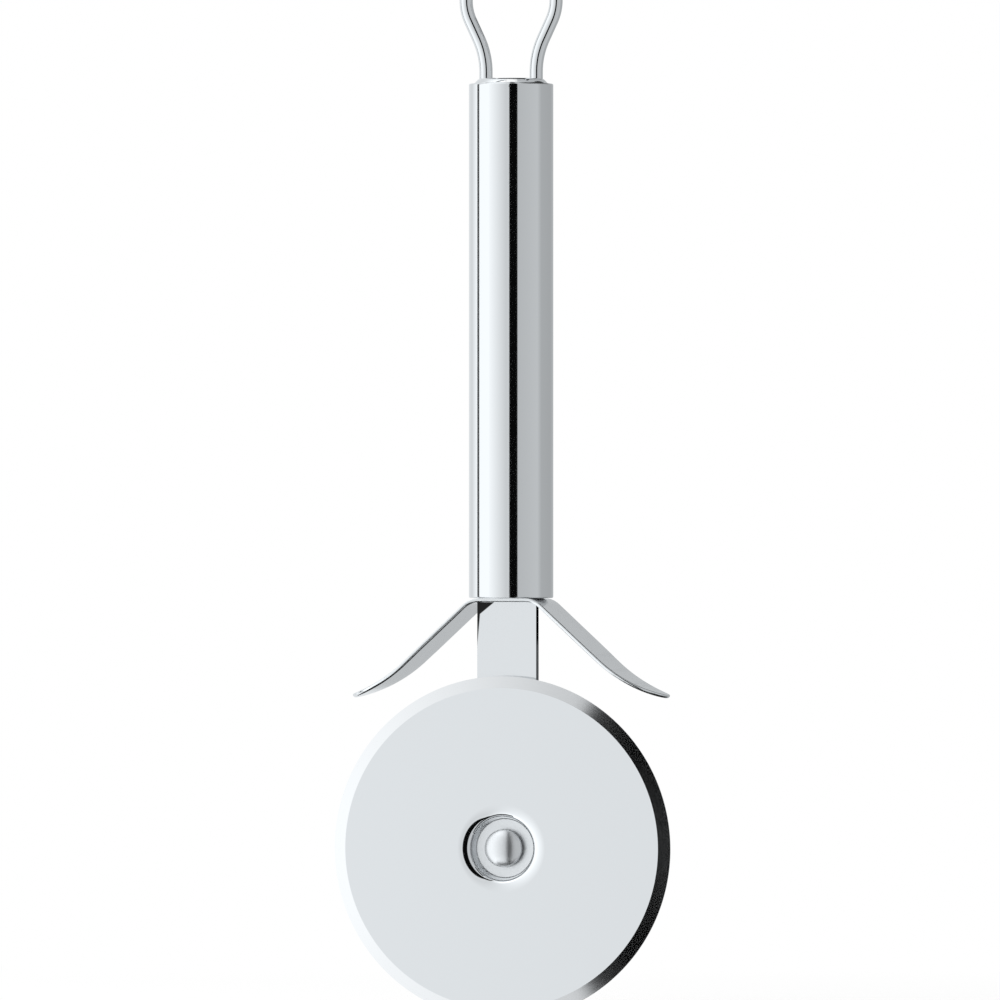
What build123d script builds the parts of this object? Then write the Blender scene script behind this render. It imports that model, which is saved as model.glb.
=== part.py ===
from build123d import *
from math import asin, cos, degrees, radians, sin, tan
import os

# Pizza cutter: a tube handle with a wire loop, a winged finger guard and a round blade on a riveted axle.
# Millimetres. +Z runs up the handle to the loop, -Y is the front, where the blade is, and +X is the right.
# The origin is the inside top of the loop, where a hook bears.

# Wire loop
wire_diameter = 2.7
loop_width = 18.8
loop_height = 18.0
neck_bend_radius = 16.0
flare_angle = 25.0
side_bend_radius = 9.8
corner_radius = 3.4
upset_diameter = 3.7
upset_height = 1.0
upset_clearance = 0.5

# Handle tube and the plugs in its two ends
handle_diameter = 17.2
handle_length = 104.8
handle_wall = 1.0
handle_edge_bevel = 0.2
cap_depth = 8.0
cap_rise = 1.05
cap_bevel = 1.0
plug_depth = 16.0
fit_clearance = 0.03

# Finger guard
guard_span = 66.2
guard_parallel = 32.0
guard_thickness = 0.8
guard_flat = 9.6
guard_bend_radius = 5.0
guard_slope = 42.8
guard_straight = 16.8
guard_flare_radius = 30.0

# Arm that carries the blade
arm_width = 12.3
arm_thickness = 2.3
arm_offset = 4.0
arm_edge_bevel = 0.3
tang_width = 8.0
tang_length = 12.0
pin_diameter = 2.5
pin_height = 6.0
pin_recess = 0.4
slot_clearance = 0.05

# Blade, a disc with its middle drawn back into a cup
blade_diameter = 70.0
blade_thickness = 1.4
bevel_width = 2.4
front_bevel_angle = 18.6
edge_land = 0.15
axle_drop = 50.85
cup_depth = 3.6
cup_radius = 6.0
cup_floor_thickness = 1.0
cup_wall_thickness = 0.9
cup_wall_angle = 79.0
cup_corner_bevel = 0.3
lip_radius = 1.15
dish_radius = 5.5
dish_angle = 20.6
cup_outer_bevel = 0.7

# Axle: a rivet through a bush, with a washer on each side of the cup's floor
bush_radius = 2.75
shank_radius = 2.0
running_clearance = 0.05
end_float = 0.06
rear_washer_radius = 5.2
rear_washer_thickness = 0.3
front_washer_radius = 3.5
front_washer_thickness = 0.6
head_radius = 3.8
head_rim = 1.45
head_dome = 1.4
tail_radius = 3.2
tail_height = 1.1
tail_bevel = 0.4

overrun = 1.0

# Heights and depths that follow
wire_radius = wire_diameter / 2
bore_radius = handle_diameter / 2 - handle_wall
plug_radius = bore_radius - fit_clearance
neck_spacing = 2 * bore_radius - upset_diameter - 2 * upset_clearance
guard_depth = handle_diameter
cap_top = -loop_height
tube_top = cap_top - cap_rise
tube_bottom = tube_top - handle_length
cap_bottom = tube_top - cap_depth
axle_z = tube_bottom - axle_drop

arm_front = -arm_offset
arm_back = arm_front + arm_thickness
arm_middle = arm_front + arm_thickness / 2
rear_washer_front = arm_front - rear_washer_thickness
floor_back = rear_washer_front - end_float
floor_front = floor_back - cup_floor_thickness
blade_front = floor_front - cup_depth
blade_back = blade_front + blade_thickness
bush_front = floor_front - end_float
head_base = bush_front - front_washer_thickness


def turned(outline):
    """Turn a closed outline, drawn as radius and depth, about the axle."""
    face = make_face(outline)
    return revolve(Pos(0, 0, axle_z) * face, Axis((0, 0, axle_z), (0, 1, 0)))


def turned_ring(inner, outer, front, back):
    """A flat ring on the axle."""
    corners = [(inner, front), (outer, front), (outer, back), (inner, back)]
    return turned(Polyline(*corners, close=True))


def upright(face, depth):
    """Give a face drawn as width and height an equal depth on both sides of the handle's middle plane."""
    return extrude(Plane.XZ * face, depth / 2, both=True)


def upright_box(width, thickness, middle, low, high):
    """A block that stands on the handle's middle line, at a given depth."""
    return Pos(0, middle, (low + high) / 2) * Box(width, thickness, high - low)


def hanging_loop():
    """One wire: up out of the cap, flared, and turned in over two tight corners to a straight top."""
    flare = radians(flare_angle)
    bends = (neck_bend_radius + side_bend_radius) * (1 - cos(flare))
    straight = (loop_width / 2 - neck_spacing / 2 - bends) / sin(flare)
    flared_height = (neck_bend_radius + side_bend_radius) * sin(flare) + straight * cos(flare)
    neck_top = wire_radius - corner_radius - flared_height

    end = cap_bottom - upset_height
    neck = Line((neck_spacing / 2, end), (neck_spacing / 2, neck_top))
    neck_bend = JernArc(neck @ 1, (0, 1), neck_bend_radius, -flare_angle)
    side = PolarLine(neck_bend @ 1, straight, 90 - flare_angle)
    side_bend = JernArc(side @ 1, side % 1, side_bend_radius, flare_angle)
    corner = JernArc(side_bend @ 1, (0, 1), corner_radius, 90)
    top = Line(corner @ 1, (0, wire_radius))
    half = Plane.XZ * Curve([neck, neck_bend, side, side_bend, corner, top])
    path = Wire(half.edges() + mirror(half, about=Plane.YZ).edges())

    section = Plane(origin=(neck_spacing / 2, 0, end), z_dir=(0, 0, 1)) * Circle(wire_radius)
    wire = sweep(section, path=path)
    upset = Cylinder(upset_diameter / 2, upset_height, align=(Align.CENTER, Align.CENTER, Align.MAX))
    upsets = [Pos(side * neck_spacing / 2, 0, cap_bottom) * upset for side in (-1, 1)]
    return wire + upsets


def top_end_cap():
    """A turned plug in the tube's top, with its rim bevelled off and two holes for the wire."""
    rim = plug_radius - cap_bevel
    outline = Polyline(
        (0, cap_bottom), (plug_radius, cap_bottom), (plug_radius, tube_top), (rim, cap_top), (0, cap_top), close=True
    )
    cap = revolve(Plane.XZ * make_face(outline), Axis.Z)
    hole = Pos(0, 0, cap_bottom) * Cylinder(
        wire_radius + fit_clearance, 2 * (cap_depth + cap_rise), align=(Align.CENTER, Align.CENTER, Align.CENTER)
    )
    return cap - [Pos(side * neck_spacing / 2, 0, 0) * hole for side in (-1, 1)]


def handle_tube():
    """A drawn tube, its four end edges eased."""
    outside = Cylinder(handle_diameter / 2, handle_length)
    tube = outside - Cylinder(bore_radius, handle_length)
    rims = tube.edges().filter_by(GeomType.CIRCLE)
    tube = chamfer(rims.sort_by(SortBy.RADIUS)[-2:], handle_edge_bevel)
    return Pos(0, 0, (tube_top + tube_bottom) / 2) * tube


def cross_pin():
    """A pin from front to back through the lower plug and the tang, clear of the tube's wall."""
    length = 2 * (plug_radius - pin_recess)
    pin = Rot(90, 0, 0) * Cylinder(pin_diameter / 2, length)
    pin = chamfer(pin.edges().filter_by(GeomType.CIRCLE), pin_recess / 2)
    return Pos(0, 0, tube_bottom + pin_height) * pin


def bottom_end_plug():
    """A plug in the tube's lower end, slotted for the tang and cross-drilled for its pin."""
    plug = Pos(0, 0, tube_bottom) * Cylinder(
        plug_radius, plug_depth, align=(Align.CENTER, Align.CENTER, Align.MIN)
    )
    slot = upright_box(
        tang_width + 2 * slot_clearance,
        arm_thickness + 2 * slot_clearance,
        arm_middle,
        tube_bottom - overrun,
        tube_bottom + tang_length + slot_clearance,
    )
    hole = Pos(0, 0, tube_bottom + pin_height) * Rot(90, 0, 0) * Cylinder(
        pin_diameter / 2 + fit_clearance, 2 * handle_diameter
    )
    return plug - slot - hole


def guard_line(below):
    """Half of the guard's side view, from the middle to past the tip, a given distance under its upper face."""
    slope = radians(guard_slope)
    flat = Line((0, tube_bottom - below), (guard_flat / 2, tube_bottom - below))
    bend = JernArc(flat @ 1, (1, 0), guard_bend_radius - below, -guard_slope)
    wing = PolarLine(bend @ 1, guard_straight, -guard_slope)
    bend_run = guard_bend_radius * sin(slope) + guard_straight * cos(slope)
    flare_run = guard_span / 2 + overrun - guard_flat / 2 - bend_run
    tip_slope = degrees(asin(sin(slope) - flare_run / guard_flare_radius))
    flare = JernArc(wing @ 1, wing % 1, guard_flare_radius + below, guard_slope - tip_slope)
    return [flat, bend, wing, flare]


def finger_guard():
    """A strip with rounded ends, bent like a gull's wings and slotted for the tang."""
    upper = guard_line(0)
    lower = guard_line(guard_thickness)
    tip = Line(upper[-1] @ 1, lower[-1] @ 1)
    middle = Line(upper[0] @ 0, lower[0] @ 0)
    half = upright(make_face(Curve([*upper, tip, *lower, middle])), guard_depth + 2 * overrun)
    strip = half + mirror(half, about=Plane.YZ)
    end = Ellipse((guard_span - guard_parallel) / 2, guard_depth / 2)
    ends = [Pos(side * guard_parallel / 2) * end for side in (-1, 1)]
    plan = Pos(0, 0, tube_bottom) * (Rectangle(guard_parallel, guard_depth) + ends)
    strip = strip & extrude(plan, guard_span, both=True)
    slot = upright_box(
        tang_width + 2 * slot_clearance,
        arm_thickness + 2 * slot_clearance,
        arm_middle,
        tube_bottom - guard_span,
        tube_bottom + overrun,
    )
    return strip - slot


def blade_arm():
    """A flat bar with a round lower end, coped to the guard's underside, with a narrower tang above it."""
    bar = Pos(0, (axle_z + tube_bottom) / 2) * Rectangle(arm_width, tube_bottom - axle_z)
    end = Pos(0, axle_z) * Circle(arm_width / 2)
    blank = Pos(0, arm_middle, 0) * upright(bar + end, arm_thickness)
    faces = blank.faces().sort_by(Axis.Y)
    blank = chamfer(faces[0].edges() + faces[-1].edges(), arm_edge_bevel)

    under = guard_line(guard_thickness)
    side = Line(under[-1] @ 1, ((under[-1] @ 1).X, tube_bottom + overrun))
    top = Line(side @ 1, (0, tube_bottom + overrun))
    middle = Line(top @ 1, under[0] @ 0)
    half = upright(make_face(Curve([*under, side, top, middle])), 2 * handle_diameter)
    arm = blank - half - mirror(half, about=Plane.YZ)

    tang = upright_box(
        tang_width, arm_thickness, arm_middle, tube_bottom - 2 * guard_thickness, tube_bottom + tang_length
    )
    arm = arm + tang
    rivet_hole = Pos(0, 0, axle_z) * Rot(90, 0, 0) * Cylinder(shank_radius + fit_clearance, 2 * handle_diameter)
    pin_hole = Pos(0, 0, tube_bottom + pin_height) * Rot(90, 0, 0) * Cylinder(
        pin_diameter / 2 + fit_clearance, 2 * handle_diameter
    )
    return arm - rivet_hole - pin_hole


def cutting_wheel():
    """The blade: a flat disc, ground deeper in front, its middle dished, turned over a tight lip into a cup."""
    dish = radians(dish_angle)
    wall = radians(cup_wall_angle)
    curved_depth = dish_radius * (1 - cos(dish)) + lip_radius * (cos(dish) - cos(wall))
    curved_run = dish_radius * sin(dish) + lip_radius * (sin(wall) - sin(dish))
    wall_length = (cup_depth - curved_depth) / sin(wall)
    dish_start = cup_radius + curved_run + wall_length * cos(wall)
    edge_front = blade_front + bevel_width * tan(radians(front_bevel_angle))
    flat_radius = blade_diameter / 2 - bevel_width
    rim_radius = blade_diameter / 2
    bore = bush_radius + running_clearance
    outer_foot = cup_radius + cup_wall_thickness
    outer_top = outer_foot + (floor_back - blade_back) / tan(wall)

    dish_arc = JernArc((dish_start, blade_front), (-1, 0), dish_radius, -dish_angle)
    lip_arc = JernArc(dish_arc @ 1, dish_arc % 1, lip_radius, dish_angle - cup_wall_angle)
    outline = Curve([
        dish_arc,
        lip_arc,
        Polyline(
            lip_arc @ 1,
            (cup_radius, floor_front),
            (bore, floor_front),
            (bore, floor_back),
            (outer_foot, floor_back),
            (outer_top, blade_back),
            (flat_radius, blade_back),
            (rim_radius, edge_front + edge_land),
            (rim_radius, edge_front),
            (flat_radius, blade_front),
            (dish_start, blade_front),
        ),
    ])
    face = make_face(outline)
    corner = face.vertices().sort_by_distance((cup_radius, floor_front))[0]
    face = chamfer(corner, cup_corner_bevel)
    bends = [face.vertices().sort_by_distance(point)[0]
             for point in ((outer_foot, floor_back), (outer_top, blade_back))]
    face = chamfer(bends, cup_outer_bevel)
    return revolve(Pos(0, 0, axle_z) * face, Axis((0, 0, axle_z), (0, 1, 0)))


def axle_rivet():
    """A rivet with a domed head in the cup and a smaller tail, pressed flat, behind the arm."""
    head_top = head_base - head_rim - head_dome
    tail_top = arm_back + tail_height
    dome_radius = (head_radius ** 2 + head_dome ** 2) / (2 * head_dome)
    dome = JernArc((0, head_top), (1, 0), dome_radius, degrees(asin(head_radius / dome_radius)))
    side = Polyline(
        dome @ 1,
        (head_radius, head_base),
        (shank_radius, head_base),
        (shank_radius, arm_back),
        (tail_radius, arm_back),
        (tail_radius, tail_top - tail_bevel),
        (tail_radius - tail_bevel, tail_top),
        (0, tail_top),
        dome @ 0,
    )
    return turned(Curve([dome, side]))


def bearing_bush():
    """The sleeve that the blade turns on, held between the arm and the front washer."""
    return turned_ring(shank_radius + fit_clearance, bush_radius, bush_front, arm_front)


def rear_washer():
    """A thin ring between the cup's floor and the arm."""
    return turned_ring(bush_radius + running_clearance, rear_washer_radius, rear_washer_front, arm_front)


def front_washer():
    """The ring under the rivet's head, which holds the cup's floor on the bush."""
    return turned_ring(shank_radius + fit_clearance, front_washer_radius, head_base, bush_front)


parts = {
    "hanging_loop": hanging_loop,
    "top_end_cap": top_end_cap,
    "handle_tube": handle_tube,
    "bottom_end_plug": bottom_end_plug,
    "tang_pin": cross_pin,
    "finger_guard": finger_guard,
    "blade_arm": blade_arm,
    "cutting_wheel": cutting_wheel,
    "front_washer": front_washer,
    "bearing_bush": bearing_bush,
    "rear_washer": rear_washer,
    "axle_rivet": axle_rivet,
}

os.makedirs("parts", exist_ok=True)
for name, make in parts.items():
    export_step(make(), f"parts/{name}.step")
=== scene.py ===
from math import asin, atan2, copysign, cos, pi, radians, sin, tan

import bmesh
import bpy
from bmesh.types import BMEdge, BMVert
from bpy.props import FloatProperty, FloatVectorProperty, PointerProperty
from mathutils import Matrix, Vector


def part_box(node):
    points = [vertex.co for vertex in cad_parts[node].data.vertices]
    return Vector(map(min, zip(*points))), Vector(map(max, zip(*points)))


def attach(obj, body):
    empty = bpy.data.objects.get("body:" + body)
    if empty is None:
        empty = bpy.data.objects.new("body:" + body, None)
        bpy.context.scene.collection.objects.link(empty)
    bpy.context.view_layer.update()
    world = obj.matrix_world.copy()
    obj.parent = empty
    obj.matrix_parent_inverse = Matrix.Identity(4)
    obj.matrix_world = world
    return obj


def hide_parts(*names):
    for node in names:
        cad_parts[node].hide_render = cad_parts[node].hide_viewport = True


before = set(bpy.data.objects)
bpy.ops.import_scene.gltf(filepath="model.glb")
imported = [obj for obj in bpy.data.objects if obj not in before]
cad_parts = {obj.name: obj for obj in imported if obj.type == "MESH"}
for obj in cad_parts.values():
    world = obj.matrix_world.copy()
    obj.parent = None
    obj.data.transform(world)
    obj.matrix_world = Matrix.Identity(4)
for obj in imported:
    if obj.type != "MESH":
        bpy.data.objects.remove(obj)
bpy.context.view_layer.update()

bl_info = {
    "name": "Pizza Cutter",
    "version": (1, 0, 0),
    "blender": (4, 5, 0),
    "location": "3D Viewport > Sidebar > Pizza Cutter",
    "description": "Builds a steel pizza cutter piece by piece, with its finishes and a plain studio",
    "category": "Add Mesh",
}

# Metres. +Z runs up the handle, -Y is the front, where the blade is, and the origin is the loop's inside top.
loop_low, loop_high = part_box("hanging_loop")
cap_low, cap_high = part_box("top_end_cap")
tube_low, tube_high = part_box("handle_tube")
guard_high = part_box("finger_guard")[1]
arm_low, arm_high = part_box("blade_arm")
wheel_low, wheel_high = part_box("cutting_wheel")
rivet_low, rivet_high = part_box("axle_rivet")
axle = Vector((0, 0, (wheel_low.z + wheel_high.z) / 2))

ACROSS = Vector((1, 0, 0))
BACKWARD = Vector((0, 1, 0))
UP = Vector((0, 0, 1))
WHITE = (1, 1, 1, 1)
MICRON = 1e-6
WELD = 1e-7
SHARP_ANGLE = radians(12)
SQUARE_ANGLE = radians(60)

# Steps round each kind of curve
COPE_STEPS = 6
ROUND_STEPS = 8
BEND_STEPS = 12
LIP_STEPS = 14
CORNER_STEPS = 24
RING_STEPS = 48
DRILL_STEPS = 64
FLOOR_STEPS = 96
GUARD_STEPS = 98
PANEL_STEPS = 180
LATHE_STEPS = 256


def length(name, description, default):
    """A size in metres."""
    return FloatProperty(name=name, description=description, default=default, unit="LENGTH", precision=5)


def angle(name, description, default):
    """An angle, given in degrees and kept in radians."""
    return FloatProperty(name=name, description=description, default=radians(default), subtype="ANGLE")


def share(name, description, default):
    """A value from nothing to one."""
    return FloatProperty(name=name, description=description, default=default, min=0, max=1, subtype="FACTOR")


def colour(name, description, default):
    """A colour, as its red, green and blue."""
    return FloatVectorProperty(name=name, description=description, default=default, min=0, max=1, subtype="COLOR")


class LoopSizes(bpy.types.PropertyGroup):
    wire: length("Wire", "Diameter of the bent wire", loop_high.z)
    width: length("Width", "Widest distance between the wire's middles", 2 * loop_high.x - loop_high.z)
    neck_spacing: length("Neck spacing", "Distance between the two legs in the cap", 0.0105)
    neck_bend: length("Neck bend", "Radius where a leg starts to flare", 0.016)
    flare: angle("Flare", "How far each leg leans out", 25)
    side_bend: length("Side bend", "Radius where a leg turns upright again", 0.0098)
    corner: length("Corner", "Radius of the two upper corners", 0.0034)
    upset: length("Upset", "Diameter of the headed ends under the cap", 2 * loop_high.y)
    upset_height: length("Upset height", "Height of the headed ends", 0.001)


class HandleSizes(bpy.types.PropertyGroup):
    diameter: length("Diameter", "Outside diameter of the tube", 2 * tube_high.x)
    wall: length("Wall", "Thickness of the tube", 0.001)
    edge: length("Edge", "Rounding of the tube's rims", 0.0003)
    cap_bevel: length("Cap bevel", "Width of the bevel round the cap", 0.001)
    cap_edge: length("Cap edge", "Rounding of the cap's lower edge", 0.00025)
    cap_crown: length("Cap crown", "Rounding where the bevel meets the cap's top", 0.00045)
    wire_gap: length("Wire gap", "Gap round the wire in its hole", 0.00003)


class GuardSizes(bpy.types.PropertyGroup):
    span: length("Span", "Width from tip to tip", 2 * guard_high.x)
    depth: length("Depth", "Width from front to back", 2 * guard_high.y)
    parallel: length("Parallel", "Length of the part with parallel sides, seen from above", 0.032)
    thickness: length("Thickness", "Thickness of the sheet", 0.0008)
    flat: length("Flat", "Width of the flat middle", 0.0096)
    bend: length("Bend", "Radius of the bend beside the flat", 0.005)
    slope: angle("Slope", "Slope of the straight part of each wing", 42.8)
    straight: length("Straight", "Length of the straight part of each wing", 0.0168)
    flare: length("Flare", "Radius at which the tips turn out", 0.03)
    edge: length("Edge", "Rounding of the sheet's upper edges", 0.0002)
    rolled_edge: length("Rolled edge", "Rounding of the lower edges, drawn down as the sheet was cut", 0.00055)
    slot_gap: length("Slot gap", "Gap round the tang in its slot", 0.00005)


class ArmSizes(bpy.types.PropertyGroup):
    width: length("Width", "Width of the bar", 2 * arm_high.x)
    tang_width: length("Tang width", "Width of the part that enters the handle", 0.008)
    edge: length("Edge", "Rounding of the bar's edges", 0.0003)
    # The dark corner and the dark line down the arm's left side are painted shade under the guard.
    dark_corner: length("Dark corner", "How far in the dark corner by the guard reaches", 0.00128)
    dark_slope: share("Dark slope", "Slope of the dark corner's border", 0.81)
    dark_side: length("Dark side", "Where the dark line down the left side starts", 0.00528)
    dark_taper: share("Dark taper", "How fast the dark line narrows", 0.09)
    dark_fade: length("Dark fade", "Half-width of the dark corner's soft border", 0.0001)
    # The cut edge's dark top, between these two heights, is painted shade under the guard.
    dark_edge_start: length("Dark edge start", "How far under the tube the cut edge starts to lighten", 0.0065)
    dark_edge_end: length("Dark edge end", "How far under the tube the cut edge reaches its own colour", 0.0105)


class WheelSizes(bpy.types.PropertyGroup):
    diameter: length("Diameter", "Diameter of the blade", wheel_high.z - wheel_low.z)
    thickness: length("Thickness", "Thickness of the blade", 0.0014)
    bevel: length("Bevel", "Width of the ground bevel", 0.0024)
    grind: angle("Grind", "Slope of the bevel in front", 18.6)
    land: length("Land", "Thickness left at the cutting edge", 0.00015)
    cup_depth: length("Cup depth", "Depth of the cup behind the blade's face", 0.0036)
    cup_radius: length("Cup radius", "Radius of the cup's flat floor", 0.006)
    floor: length("Floor", "Thickness of the cup's floor", 0.001)
    wall: length("Wall", "Thickness of the cup's wall", 0.0009)
    wall_angle: angle("Wall angle", "Slope of the cup's wall", 79)
    corner: length("Corner", "Radius at the foot of the cup's wall", 0.0002)
    lip: length("Lip", "Radius of the lip round the cup", 0.00115)
    dish: length("Dish", "Radius of the gentle roll outside the lip", 0.0055)
    dish_angle: angle("Dish angle", "Slope at which the roll meets the lip", 20.6)
    outer_bend: length("Outer bend", "Rounding of the cup seen from behind", 0.0009)
    bore: length("Bore", "Radius of the hole for the bush", 0.0028)


class RivetSizes(bpy.types.PropertyGroup):
    head_radius: length("Head radius", "Radius of the domed head", rivet_high.x)
    rim: length("Rim", "Height of the head's upright rim", 0.00145)
    dome: length("Dome", "Height of the dome over the rim", 0.0014)
    shank: length("Shank", "Radius of the shank", 0.002)
    tail_radius: length("Tail radius", "Radius of the pressed tail", 0.0032)
    tail_bevel: length("Tail bevel", "Rounding of the pressed tail", 0.0004)
    edge: length("Edge", "Rounding of the head's rim", 0.00006)
    # The dark line round the foot of the head is a painted shadow.
    dark_foot: length("Dark foot", "Height of the dark line round the foot of the head", 0.00025)


class SteelFinish(bpy.types.PropertyGroup):
    polished_colour: colour("Polished colour", "Colour of the polished handle and loop", (0.785, 0.797, 0.805))
    satin_colour: colour("Satin colour", "Colour of the guard", (0.82, 0.834, 0.843))
    blade_colour: colour("Blade colour", "Colour of the blade and the arm", (0.857, 0.87, 0.88))
    bevel_colour: colour("Bevel colour", "Colour of the blade's ground bevel", (0.81, 0.812, 0.815))
    cut_sheen: colour("Cut sheen", "Tint of what the arm's cut edges mirror at a low angle", (0.5, 0.5, 0.5))
    cut_colour: colour("Cut colour", "Colour of the blanked edges of the arm", (0.12, 0.125, 0.13))
    # Painted shade: this near-black is drawn into the arm's corner under the guard, down its cut edge near the
    # guard and round the foot of the rivet's head.
    painted_shade_colour: colour("Scale colour", "Colour where the polish didn't reach", (0.02, 0.02, 0.02))
    rivet_colour: colour("Rivet colour", "Colour of the rivet", (0.79, 0.80, 0.81))
    hidden_colour: colour("Hidden colour", "Colour of the washers and the parts inside", (0.66, 0.66, 0.67))
    polished: share("Polished", "Roughness of the handle, the loop and the arm", 0.06)
    satin: share("Satin", "Roughness of the guard and of cut edges", 0.15)
    blade: share("Blade", "Roughness of the blade's flat face", 0.05)
    bevel: share("Bevel", "Roughness of the ground bevel", 0.13)
    cup: share("Cup", "Roughness of the cup's floor", 0.28)
    rivet: share("Rivet", "Roughness of the rivet's head", 0.28)
    rivet_side: share("Rivet side", "Roughness of the side of the rivet's head", 0.6)
    hidden: share("Hidden", "Roughness of the washers and the parts inside", 0.34)


class StudioSetup(bpy.types.PropertyGroup):
    camera_azimuth: angle("Azimuth", "How far round to the right the camera stands", 13)
    camera_distance: length("Distance", "How far away the camera stands", 3.0)
    camera_width: length("Framed width", "Width of the picture at the handle", 0.2038)
    aim_across: length("Aim across", "Where the camera aims, to its right of the handle's axis", -0.00226)
    aim_up: length("Aim up", "Height that the camera aims at", -0.10388)
    lamp_power: FloatProperty(name="Lamp", description="Power of the soft lamp", default=9.0, min=0, unit="POWER")
    lamp_size: length("Lamp size", "Diameter of the soft lamp", 1.1)
    lamp_place: FloatVectorProperty(
        name="Lamp place", description="Where the soft lamp hangs", default=(-0.35, -0.45, 1.15), unit="LENGTH",
    )
    fill: share("Fill", "Light that the surroundings give the floor", 0.8)
    floor_radius: length("Floor radius", "Radius of the floor", 10.0)
    floor_colour: colour("Floor colour", "Colour of the floor by the blade", (0.9, 0.9, 0.9))
    floor_fade_start: length("Floor fade start", "How far from the blade the floor starts to turn white", 0.10)
    floor_fade_end: length("Floor fade end", "How far from the blade the floor is white", 0.34)


# What the steel mirrors: upright panels all the way round, as (from, to, level at from, level at to),
# in degrees round from the front, positive to the right.
studio_panels = (
    (-170, -118, 0.85, 0.80),
    (-118, -93, 0.84, 1.15),
    (-92.5, -85, 0.06, 0.06),
    (-84, -50, 1.19, 1.20),
    (-50, 0, 1.165, 0.72),
    (0, 8, 0.72, 0.76),
    (8.5, 30, 0.003, 0.003),
    (31, 90, 0.57, 0.63),
    (104, 150, 0.485, 0.45),
    (150, 189.5, 0.45, 0.55),
)
panel_start = studio_panels[0][0]
panel_tint = (1.0, 1.03, 1.052)
panel_radius = 1.6
panel_reach = 9.0

# The panels brighten by this gain between these two heights, upwards and downwards alike.
panel_gain = 1.2
gain_start, gain_end = 0.9, 2.2

# Cards over and under the cutter, as (name, level, left, right, front, back, height) in metres: a bright one
# overhead, and dark ones above, below and to the right, which draw the dark lines along rounded edges.
studio_cards = (
    ("bright_card", 1.22, -1.1, 1.1, -1.1, 0.3, 8.8),
    ("upper_dark_card", 0.01, -0.25, 0.15, 0.15, 1.5, 0.6),
    ("right_dark_card", 0.01, 0.35, 0.9, -0.35, 1.2, 0.6),
    ("lower_dark_card", 0.01, -0.4, 0.9, -0.35, 1.2, -0.8),
)


def sizes(group):
    """The values of one group of sizes, finishes or studio settings."""
    return getattr(bpy.context.scene, "cutter_" + group)


# Drawing outlines and rings

def only(items, kind):
    """The points or edges among the items that a step made."""
    return [item for item in items if isinstance(item, kind)]


def line_to(bm, tip, place):
    """Draw a straight stretch of an outline."""
    new = bmesh.ops.extrude_vert_indiv(bm, verts=[tip])["verts"][0]
    bmesh.ops.translate(bm, verts=[new], vec=Vector(place) - new.co)
    return new


def lines_through(bm, tip, places):
    """Draw several straight stretches and return their corners."""
    corners = []
    for place in places:
        tip = line_to(bm, tip, place)
        corners.append(tip)
    return corners


def arc_to(bm, tip, centre, axis, turn, steps):
    """Draw a round stretch of an outline."""
    made = bmesh.ops.spin(bm, geom=[tip], cent=centre, axis=axis, angle=turn, steps=steps)
    return only(made["geom_last"], BMVert)[0]


def join(bm, first, last):
    """Close an outline."""
    bmesh.ops.contextual_create(bm, geom=[first, last])


def round_corners(bm, corners, radius):
    """Round the given corners of an outline."""
    bmesh.ops.bevel(
        bm, geom=corners, offset=radius, offset_type="OFFSET", segments=ROUND_STEPS, profile=0.5,
        affect="VERTICES", material=-1,
    )


def round_edges(bm, edges, radius):
    """Round the given edges of a solid."""
    bmesh.ops.bevel(
        bm, geom=edges, offset=radius, offset_type="OFFSET", segments=ROUND_STEPS, profile=0.5,
        affect="EDGES", clamp_overlap=True, material=-1,
    )


def at(radius, depth):
    """A point of an outline that is turned about the axle."""
    return Vector((radius, depth, axle.z))


def turn_full(bm, centre, axis):
    """Turn an outline into a solid."""
    outline = bm.verts[:] + bm.edges[:]
    bmesh.ops.spin(bm, geom=outline, cent=centre, axis=axis, angle=2 * pi, steps=LATHE_STEPS, use_merge=True)


def circle(bm, radius, segments, place):
    """A ring of edges that lies flat at a place."""
    made = bmesh.ops.create_circle(bm, radius=radius, segments=segments, matrix=Matrix.Translation(place))
    return edges_among(made["verts"])


def edges_among(verts):
    """The edges whose two ends are both in a set of points."""
    inside = set(verts)
    return list(dict.fromkeys(
        edge for vert in verts for edge in vert.link_edges if edge.other_vert(vert) in inside
    ))


def points_of(edges):
    """The points of a set of edges, each once."""
    return list(dict.fromkeys(vert for edge in edges for vert in edge.verts))


def pull(bm, ring, move, widen=1.0, centre=None):
    """Extend a ring by one stretch, and widen or narrow its far end about a centre."""
    verts = only(bmesh.ops.extrude_edge_only(bm, edges=ring)["geom"], BMVert)
    if widen != 1.0:
        bmesh.ops.scale(bm, verts=verts, vec=(widen, widen, 1), space=Matrix.Translation(-Vector(centre)))
    bmesh.ops.translate(bm, verts=verts, vec=move)
    return edges_among(verts)


def bend(bm, ring, centre, turn, steps):
    """Carry a ring round a bend in the plane of the loop."""
    made = bmesh.ops.spin(
        bm, geom=points_of(ring) + ring, cent=centre, axis=BACKWARD, angle=turn, steps=steps
    )
    return only(made["geom_last"], BMEdge)


def thicken(bm, move):
    """Give a flat sheet its thickness, and return the points of its new side."""
    made = bmesh.ops.extrude_face_region(bm, geom=bm.faces[:], use_keep_orig=True)
    far_side = only(made["geom"], BMVert)
    bmesh.ops.translate(bm, verts=far_side, vec=move)
    bmesh.ops.recalc_face_normals(bm, faces=bm.faces)
    return far_side


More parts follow.
